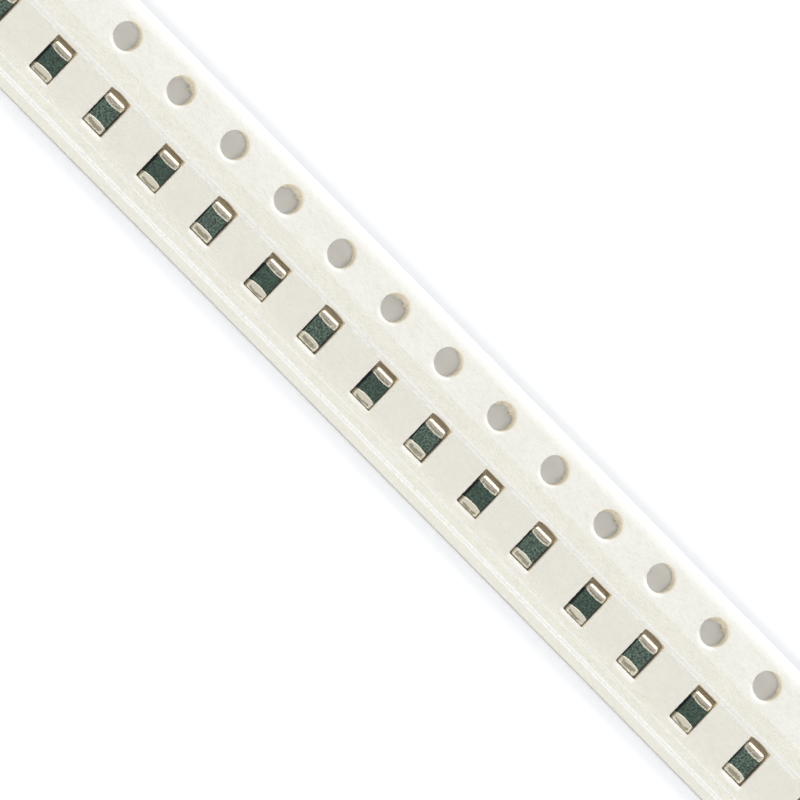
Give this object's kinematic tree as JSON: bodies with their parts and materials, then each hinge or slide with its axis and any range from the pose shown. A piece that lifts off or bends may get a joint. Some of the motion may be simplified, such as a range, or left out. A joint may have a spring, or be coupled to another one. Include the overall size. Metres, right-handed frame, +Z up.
{
  "type": "surface-mount component carrier tape strip",
  "caption": "Flat cut strip of white punched card carrier tape: a row of sprocket holes, and pockets under clear film that each hold one small two-terminal chip.",
  "frame": {"origin": "on the resting plane, under the middle of the strip", "axes": "+X along the strip, +Y across it towards the sprocket holes, +Z up out of the pockets"},
  "size_m": [0.064, 0.0082, 0.0011],
  "materials": {
    "card": "matte",
    "bottom_film": "satin",
    "top_film": "gloss",
    "ceramic": "matte",
    "terminal_metal": "satin"
  },
  "bodies": {
    "root": {"carrier_tape": "card", "bottom_cover_tape": "bottom_film", "top_cover_tape": "top_film", "chip_01_ceramic": "ceramic", "chip_02_ceramic": "ceramic", "chip_03_ceramic": "ceramic", "chip_04_ceramic": "ceramic", "chip_05_ceramic": "ceramic", "chip_06_ceramic": "ceramic", "chip_07_ceramic": "ceramic", "chip_08_ceramic": "ceramic", "chip_09_ceramic": "ceramic", "chip_10_ceramic": "ceramic", "chip_11_ceramic": "ceramic", "chip_12_ceramic": "ceramic", "chip_13_ceramic": "ceramic", "chip_14_ceramic": "ceramic", "chip_15_ceramic": "ceramic", "chip_16_ceramic": "ceramic", "chip_01_terminal_near": "terminal_metal", "chip_02_terminal_near": "terminal_metal", "chip_03_terminal_near": "terminal_metal", "chip_04_terminal_near": "terminal_metal", "chip_05_terminal_near": "terminal_metal", "chip_06_terminal_near": "terminal_metal", "chip_07_terminal_near": "terminal_metal", "chip_08_terminal_near": "terminal_metal", "chip_09_terminal_near": "terminal_metal", "chip_10_terminal_near": "terminal_metal", "chip_11_terminal_near": "terminal_metal", "chip_12_terminal_near": "terminal_metal", "chip_13_terminal_near": "terminal_metal", "chip_14_terminal_near": "terminal_metal", "chip_15_terminal_near": "terminal_metal", "chip_16_terminal_near": "terminal_metal", "chip_01_terminal_far": "terminal_metal", "chip_02_terminal_far": "terminal_metal", "chip_03_terminal_far": "terminal_metal", "chip_04_terminal_far": "terminal_metal", "chip_05_terminal_far": "terminal_metal", "chip_06_terminal_far": "terminal_metal", "chip_07_terminal_far": "terminal_metal", "chip_08_terminal_far": "terminal_metal", "chip_09_terminal_far": "terminal_metal", "chip_10_terminal_far": "terminal_metal", "chip_11_terminal_far": "terminal_metal", "chip_12_terminal_far": "terminal_metal", "chip_13_terminal_far": "terminal_metal", "chip_14_terminal_far": "terminal_metal", "chip_15_terminal_far": "terminal_metal", "chip_16_terminal_far": "terminal_metal"}
  },
  "joints": []
}
